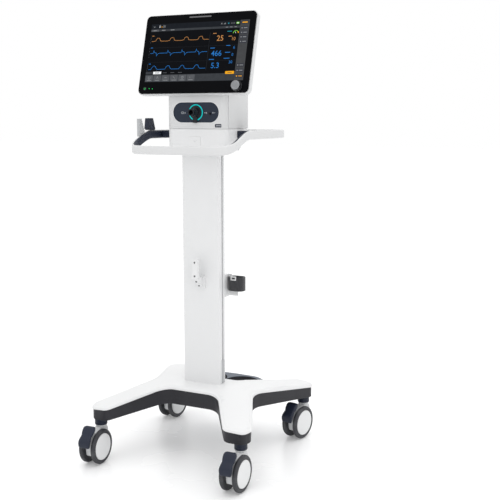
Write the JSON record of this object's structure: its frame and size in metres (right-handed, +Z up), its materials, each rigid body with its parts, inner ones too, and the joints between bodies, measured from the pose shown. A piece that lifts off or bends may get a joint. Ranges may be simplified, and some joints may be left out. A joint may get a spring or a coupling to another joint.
{
  "type": "patient monitor",
  "caption": "Bedside respiratory monitor unit with tilting touch display, lit patient gas port and loop handle, on a slotted column stand with braked swivel casters.",
  "frame": {"origin": "on the floor under the middle of the bounding box", "axes": "+X to the right seen from the display side, +Y away from the user, +Z up"},
  "size_m": [0.5864, 0.6351, 1.4468],
  "materials": {
    "white_paint": "satin",
    "white_plastic": "fine texture",
    "white_cap": "satin",
    "charcoal": "fine texture",
    "navy": "satin",
    "panel_navy": "satin",
    "tray_grey": "satin",
    "fork_grey": "satin",
    "tread": "matt",
    "light_grey": "satin",
    "cast_grey": "satin",
    "steel": "brushed",
    "strap": "woven",
    "ring_light": "gloss",
    "port_black": "satin",
    "screen": "gloss",
    "knob_metal": "brushed",
    "lens": "gloss"
  },
  "bodies": {
    "stand": {"base_chassis": "charcoal", "base_cover": "white_plastic", "cylinder_tray": "tray_grey", "base_screws": "steel", "caster_collars": "navy", "column": "white_paint", "slot_covers": "light_grey", "bracket_block": "white_paint", "bracket_post": "white_paint", "small_screws": "steel", "strap_bracket": "white_paint", "strap": "strap", "strap_buckle": "white_plastic", "handle_band": "white_plastic", "handle_liner": "navy", "handle_links": "navy", "hose_jaw_dark": "navy", "hose_jaw_light": "light_grey", "dock_body": "white_plastic", "unit_front": "white_plastic", "unit_rear": "white_plastic", "port_panel": "panel_navy", "port_ring": "ring_light", "patient_port": "port_black", "sensor_port": "port_black", "rear_panel": "light_grey", "power_inlet": "port_black", "hinge_base": "cast_grey"},
    "display": {"hinge_yoke": "cast_grey", "display_shell": "white_plastic", "display_glass": "screen", "alarm_lens": "lens"},
    "control_knob": {"control_knob": "knob_metal"},
    "power_button": {"power_button": "light_grey"},
    "dock_latch": {"dock_latch": "white_plastic"},
    "fork_fl": {"fork_fl": "fork_grey"},
    "pedal_fl": {"pedal_fl": "navy"},
    "wheel_fl_left": {"wheel_fl_left": "tread", "cap_fl_left": "white_cap"},
    "wheel_fl_right": {"wheel_fl_right": "tread", "cap_fl_right": "white_cap"},
    "fork_fr": {"fork_fr": "fork_grey"},
    "pedal_fr": {"pedal_fr": "navy"},
    "wheel_fr_left": {"wheel_fr_left": "tread", "cap_fr_left": "white_cap"},
    "wheel_fr_right": {"wheel_fr_right": "tread", "cap_fr_right": "white_cap"},
    "fork_rl": {"fork_rl": "fork_grey"},
    "pedal_rl": {"pedal_rl": "navy"},
    "wheel_rl_left": {"wheel_rl_left": "tread", "cap_rl_left": "white_cap"},
    "wheel_rl_right": {"wheel_rl_right": "tread", "cap_rl_right": "white_cap"},
    "fork_rr": {"fork_rr": "fork_grey"},
    "pedal_rr": {"pedal_rr": "navy"},
    "wheel_rr_left": {"wheel_rr_left": "tread", "cap_rr_left": "white_cap"},
    "wheel_rr_right": {"wheel_rr_right": "tread", "cap_rr_right": "white_cap"}
  },
  "joints": [
    {"name": "swivel_fl", "type": "hinge", "parent": "stand", "child": "fork_fl", "pos_m": [-0.257, -0.2175, 0.119], "axis": [0, 0, 1], "continuous": true},
    {"name": "brake_fl", "type": "hinge", "parent": "fork_fl", "child": "pedal_fl", "pos_m": [-0.25546, -0.26147, 0.099], "axis": [0.9994, 0.0349, 0], "range_deg": [-12, 0]},
    {"name": "roll_fl_left", "type": "hinge", "parent": "fork_fl", "child": "wheel_fl_left", "pos_m": [-0.27776, -0.25325, 0.057], "axis": [0.9994, 0.0349, 0], "continuous": true},
    {"name": "roll_fl_right", "type": "hinge", "parent": "fork_fl", "child": "wheel_fl_right", "pos_m": [-0.23379, -0.25171, 0.057], "axis": [0.9994, 0.0349, 0], "continuous": true},
    {"name": "swivel_fr", "type": "hinge", "parent": "stand", "child": "fork_fr", "pos_m": [0.257, -0.2175, 0.119], "axis": [0, 0, 1], "continuous": true},
    {"name": "brake_fr", "type": "hinge", "parent": "fork_fr", "child": "pedal_fr", "pos_m": [0.25623, -0.26149, 0.099], "axis": [0.9998, -0.0175, 0], "range_deg": [-12, 0]},
    {"name": "roll_fr_left", "type": "hinge", "parent": "fork_fr", "child": "wheel_fr_left", "pos_m": [0.23439, -0.25211, 0.057], "axis": [0.9998, -0.0175, 0], "continuous": true},
    {"name": "roll_fr_right", "type": "hinge", "parent": "fork_fr", "child": "wheel_fr_right", "pos_m": [0.27839, -0.25288, 0.057], "axis": [0.9998, -0.0175, 0], "continuous": true},
    {"name": "swivel_rl", "type": "hinge", "parent": "stand", "child": "fork_rl", "pos_m": [-0.257, 0.284, 0.119], "axis": [0, 0, 1], "continuous": true},
    {"name": "brake_rl", "type": "hinge", "parent": "fork_rl", "child": "pedal_rl", "pos_m": [-0.2616, 0.24024, 0.099], "axis": [0.9945, -0.1045, 0], "range_deg": [-12, 0]},
    {"name": "roll_rl_left", "type": "hinge", "parent": "fork_rl", "child": "wheel_rl_left", "pos_m": [-0.28254, 0.25149, 0.057], "axis": [0.9945, -0.1045, 0], "continuous": true},
    {"name": "roll_rl_right", "type": "hinge", "parent": "fork_rl", "child": "wheel_rl_right", "pos_m": [-0.23878, 0.24689, 0.057], "axis": [0.9945, -0.1045, 0], "continuous": true},
    {"name": "swivel_rr", "type": "hinge", "parent": "stand", "child": "fork_rr", "pos_m": [0.257, 0.284, 0.119], "axis": [0, 0, 1], "continuous": true},
    {"name": "brake_rr", "type": "hinge", "parent": "fork_rr", "child": "pedal_rr", "pos_m": [0.24785, 0.24096, 0.099], "axis": [0.9781, -0.2079, 0], "range_deg": [-12, 0]},
    {"name": "roll_rr_left", "type": "hinge", "parent": "fork_rr", "child": "wheel_rr_left", "pos_m": [0.2282, 0.25434, 0.057], "axis": [0.9781, -0.2079, 0], "continuous": true},
    {"name": "roll_rr_right", "type": "hinge", "parent": "fork_rr", "child": "wheel_rr_right", "pos_m": [0.27124, 0.24519, 0.057], "axis": [0.9781, -0.2079, 0], "continuous": true},
    {"name": "display_tilt", "type": "hinge", "parent": "stand", "child": "display", "pos_m": [0, 0.042, 1.29], "axis": [1, 0, 0], "range_deg": [-20, 3]},
    {"name": "knob_turn", "type": "hinge", "parent": "display", "child": "control_knob", "pos_m": [0.1595, -0.04447, 1.21387], "axis": [0, 0.965, -0.2622], "continuous": true},
    {"name": "power_press", "type": "slide", "parent": "display", "child": "power_button", "axis": [0, 0.965, -0.2622], "range_m": [0, 0.0007], "stiffness_N_per_m": 600},
    {"name": "latch_press", "type": "slide", "parent": "stand", "child": "dock_latch", "axis": [0, 1, 0], "range_m": [0, 0.0025], "stiffness_N_per_m": 500}
  ]
}
